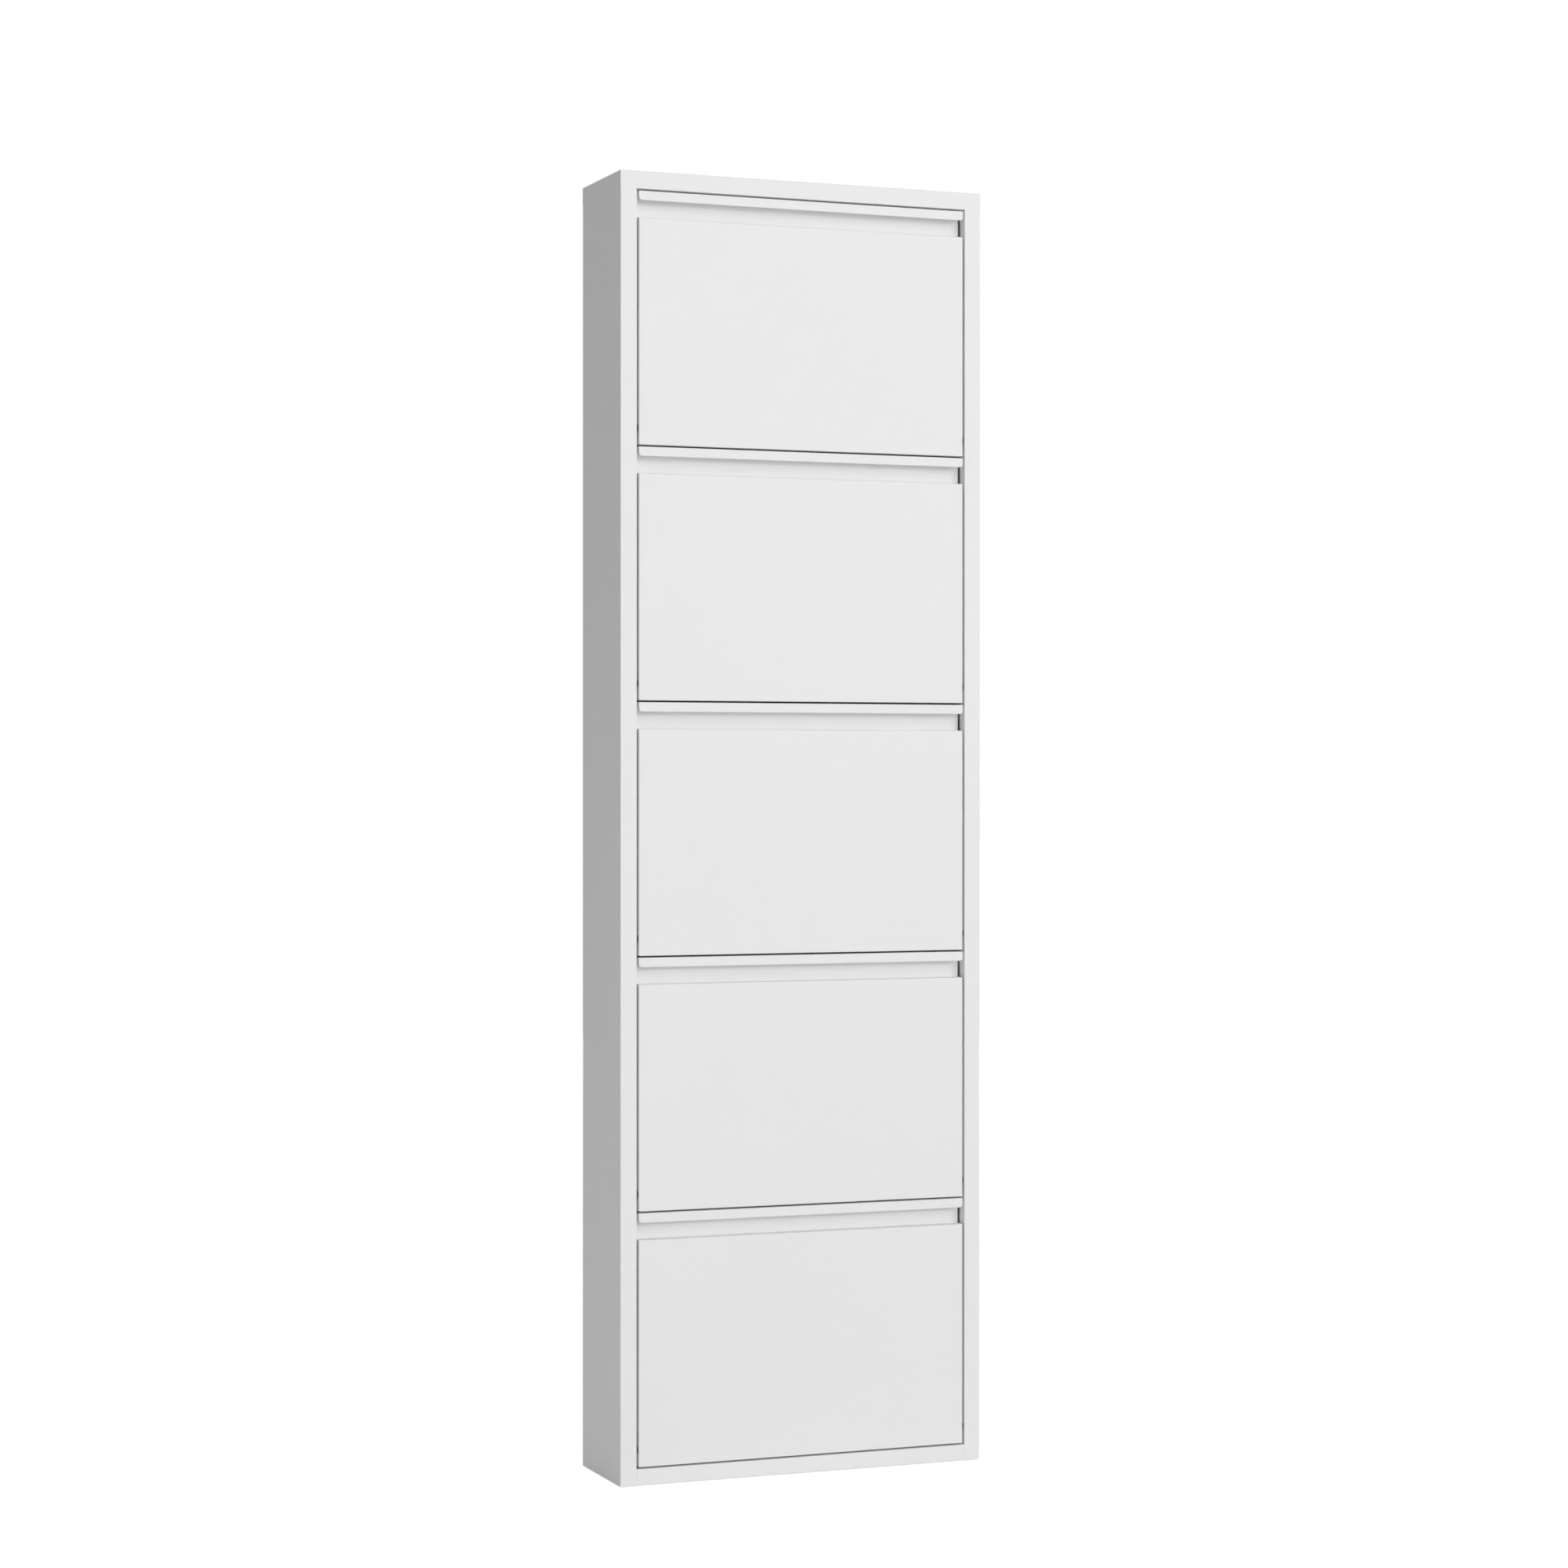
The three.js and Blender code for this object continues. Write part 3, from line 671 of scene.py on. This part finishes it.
# %% From corners and faces to a piece
def add_piece(name, corners, faces, slot_name, body, edge_round):
    """A new mesh piece in one of the finishes, riding on a body."""
    mesh = bpy.data.meshes.new(name)
    mesh.from_pydata(corners, [], faces)
    shell = bmesh.new()
    shell.from_mesh(mesh)
    bmesh.ops.recalc_face_normals(shell, faces=shell.faces)
    shell.to_mesh(mesh)
    shell.free()
    mesh.materials.append(finish_of[slot_name])
    piece = bpy.data.objects.new(name, mesh)
    bpy.context.scene.collection.objects.link(piece)
    soften_edges(piece, edge_round)
    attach(piece, body)
    return piece


# %% [markdown]
# ## Pop rivets of the wall plates
#
# Two pop rivets hold each wall plate to the back panel, one on either side of the screw hole. They
# are set from behind, where only a flat dome may stand proud, and the broken stem sits a little
# below the mouth of that dome. Inside the case the end of each rivet is drawn up into a bulb. All
# of it is round, so it is turned: an outline of radius and depth goes once round an axis that runs
# through the wall. A squashed sphere would be quicker, but it would show neither the sunken stem
# nor the bulb.

# %% Turned solids
ROUND_STEPS = 24


def turned(outline, centre):
    """Corners and faces of a round solid about an axis along Y; the outline holds (radius, y)."""
    corners = []
    rings = []
    for radius, depth in outline:
        steps = range(ROUND_STEPS if radius > 0 else 1)
        rings.append([len(corners) + step for step in steps])
        for step in steps:
            angle = math.tau * step / ROUND_STEPS
            spoke = Vector((radius * math.cos(angle), depth, radius * math.sin(angle)))
            corners.append(centre + spoke)
    faces = []
    for ring, next_ring in zip(rings, rings[1:]):
        for step in range(ROUND_STEPS):
            after = step + 1
            face = [
                ring[step % len(ring)],
                ring[after % len(ring)],
                next_ring[after % len(next_ring)],
                next_ring[step % len(next_ring)],
            ]
            # At the axis two corners are one, and the face is a triangle.
            faces.append(list(dict.fromkeys(face)))
    return corners, faces


# %% Rivets through plate and panel
RIVET_FROM_HOLE = 0.020
DOME_RADIUS = 0.0032
DOME_HEIGHT = 0.00095
MOUTH_RADIUS = 0.0009
STEM_SUNK = 0.0005
SHANK_RADIUS = 0.0016
BULB_RADIUS = 0.0025
BULB_LENGTH = 0.0022
SEATED = 0.00002  # from a head to the sheet under it
RIVET_ROUND = 0.00008
MOUTH_SHARE = 0.9  # of the dome's height, at the rim of its mouth
DOME_PROFILE = [(0.5, 1), (0.8, 0.74), (1, 0.2)]  # shares of the dome's radius and height
BULB_SHOULDER = 0.92  # of the bulb's radius, where it meets the plate
# Shares of the bulb's radius and length, out to the tip of the stem.
BULB_PROFILE = [(1, 0.36), (0.88, 0.77), (0.56, 1), (0.5, 1.2), (0.35, 1.4), (0, 1.5)]


def rivet_outline(grip):
    """The outline from the sunken stem, over the dome and down the shank, to the bulb's tip."""
    mouth = [
        (0, DOME_HEIGHT - STEM_SUNK),
        (MOUTH_RADIUS, DOME_HEIGHT - STEM_SUNK),
        (MOUTH_RADIUS, MOUTH_SHARE * DOME_HEIGHT),
    ]
    dome = [(radius * DOME_RADIUS, height * DOME_HEIGHT) for radius, height in DOME_PROFILE]
    shank = [
        (DOME_RADIUS, SEATED),
        (SHANK_RADIUS, SEATED),
        (SHANK_RADIUS, -grip - SEATED),
        (BULB_SHOULDER * BULB_RADIUS, -grip - SEATED),
    ]
    bulb = [(radius * BULB_RADIUS, -grip - depth * BULB_LENGTH) for radius, depth in BULB_PROFILE]
    return mouth + dome + shank + bulb


panel_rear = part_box("back_panel")[1].y
for side in ("left", "right"):
    plate_low, plate_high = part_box(f"wall_plate_{side}")
    grip = panel_rear - plate_low.y
    hole_x = (plate_low.x + plate_high.x) / 2
    hole_z = (plate_low.z + plate_high.z) / 2
    for place, step in (("outer", 1), ("inner", -1)):
        outward = step if side == "right" else -step
        centre = Vector((hole_x + outward * RIVET_FROM_HOLE, panel_rear, hole_z))
        corners, faces = turned(rivet_outline(grip), centre)
        name = f"wall_plate_rivet_{side}_{place}"
        add_piece(name, corners, faces, "zinc_steel", "case", RIVET_ROUND)
print("rivets through", round(grip * 1000, 2), "mm of steel")

# %% [markdown]
# ## Clips on the rods
#
# The rod that crosses each tray is kept from sliding by a retaining clip at either end: a flat
# ring of spring steel, open at the bottom, with three prongs that snap into a groove in the rod.
# It lies just outside the tray's cheek. A plain washer would be simpler, but it could never be
# pushed on from the side. The clip is drawn as one outline in the plane of the cheek and given the
# thickness of the sheet that it is stamped from.

# %% Stamped clips
CLIP_RADIUS = 0.0055
CLIP_INSIDE = 0.0040
PRONG_RADIUS = 0.00275  # a little less than the rod's, because the prongs sit in a groove
PRONG_HALF_WIDTH = math.radians(16)
CLIP_OPENING = math.radians(60)
CLIP_SHEET = 0.0006
CLIP_FROM_CHEEK = 0.0002
CLIP_ROUND = 0.0001
ARC_STEP = math.radians(8)


def arc(radius, start, end):
    """Points of an arc about the origin, with both its ends."""
    steps = max(1, round(abs(end - start) / ARC_STEP))
    angles = [start + (end - start) * step / steps for step in range(steps + 1)]
    return [(radius * math.cos(angle), radius * math.sin(angle)) for angle in angles]


def clip_outline():
    """Round the outside and back along the inside, in and out of each prong."""
    quarter = math.pi / 2
    half_turn = math.pi - CLIP_OPENING / 2
    outline = arc(CLIP_RADIUS, quarter - half_turn, quarter + half_turn)
    here = quarter + half_turn
    for prong in (2 * quarter, quarter, 0):
        outline += arc(CLIP_INSIDE, here, prong + PRONG_HALF_WIDTH)
        outline += arc(PRONG_RADIUS, prong + PRONG_HALF_WIDTH, prong - PRONG_HALF_WIDTH)
        here = prong - PRONG_HALF_WIDTH
    return outline + arc(CLIP_INSIDE, here, quarter - half_turn)


def prism(outline, start, end, corner_at):
    """Corners and faces of an outline pushed from start to end; corner_at places each point."""
    count = len(outline)
    corners = [corner_at(point, along) for along in (start, end) for point in outline]
    faces = [list(range(count)), list(range(count, 2 * count))]
    for step in range(count):
        after = (step + 1) % count
        faces.append([step, after, count + after, count + step])
    return corners, faces


for body in frame["bodies"]:
    if not body.startswith("flap_"):
        continue
    rod_low, rod_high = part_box(f"{body}_rod")
    rod_y = (rod_low.y + rod_high.y) / 2
    rod_z = (rod_low.z + rod_high.z) / 2
    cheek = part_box(f"{body}_tray")[1].x
    for side, outward in (("left", -1), ("right", 1)):
        corners, faces = prism(
            clip_outline(),
            outward * (cheek + CLIP_FROM_CHEEK),
            outward * (cheek + CLIP_FROM_CHEEK + CLIP_SHEET),
            lambda point, x: (x, rod_y + point[0], rod_z + point[1]),
        )
        add_piece(f"{body}_rod_clip_{side}", corners, faces, "zinc_steel", body, CLIP_ROUND)

# %% [markdown]
# ## Painted seams
#
# The base rail butts against the two stiles beside it, and the stiles butt against the rail of the
# top. On the shop floor each joint is welded from behind, filled and sprayed over. What stays on
# the front is the round of the folded edge and, beside it, a hollow a third of a millimetre deep.
# Left open, the joint would let the light of the floor shine through as a bright line, and a flat
# cover strip would hide the round as well. So the filler is a bead of its own: a small outline,
# pushed along the joint.

# %% Beads of filler
JOINT_GAP = 0.0003  # between the cut edge of one sheet and the fold of the next
HOLLOW = 0.0003  # from the front of the case to the filler, at the cut edge
HOLLOW_MIDDLE = 0.0004
BEAD_INTO_FOLD = 0.00035
FILLER_REAR = 0.0017
BEAD_ROUND = 0.00003
FOLD = 0.0011  # outer radius of the sheet's folds
front = low_corner.y


def bead_outline():
    """The filler's section; (from the folded edge into its sheet, behind the front of the case)."""
    return [
        (-JOINT_GAP, HOLLOW),
        (0, HOLLOW_MIDDLE),
        (BEAD_INTO_FOLD, HOLLOW_MIDDLE),
        (BEAD_INTO_FOLD, FILLER_REAR),
        (-JOINT_GAP, FILLER_REAR),
    ]


base_low, base_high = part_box("bottom_panel")
top_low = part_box("top_panel")[0]
for side, outward in (("left", -1), ("right", 1)):
    panel_low, panel_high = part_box(f"{side}_side_panel")
    stile_edge = min(abs(panel_low.x), abs(panel_high.x))
    outside = max(abs(panel_low.x), abs(panel_high.x))
    corners, faces = prism(
        bead_outline(),
        base_low.z + BEAD_ROUND,
        base_high.z - HOLLOW,
        lambda point, z: (outward * (stile_edge + point[0]), front + point[1], z),
    )
    add_piece(f"base_seam_{side}", corners, faces, "case_coat", "case", BEAD_ROUND)
    corners, faces = prism(
        bead_outline(),
        outward * (stile_edge + FOLD),
        outward * (outside - FOLD),
        lambda point, x: (x, front + point[1], top_low.z + point[0]),
    )
    add_piece(f"top_seam_{side}", corners, faces, "case_coat", "case", BEAD_ROUND)
print("seams from", round(base_low.z, 4), "to", round(top_low.z, 4))

# %% [markdown]
# ## The look of the picture
#
# The Standard view transform shows a colour as it is written.

# %% View transform
bpy.context.scene.view_settings.view_transform = "Standard"
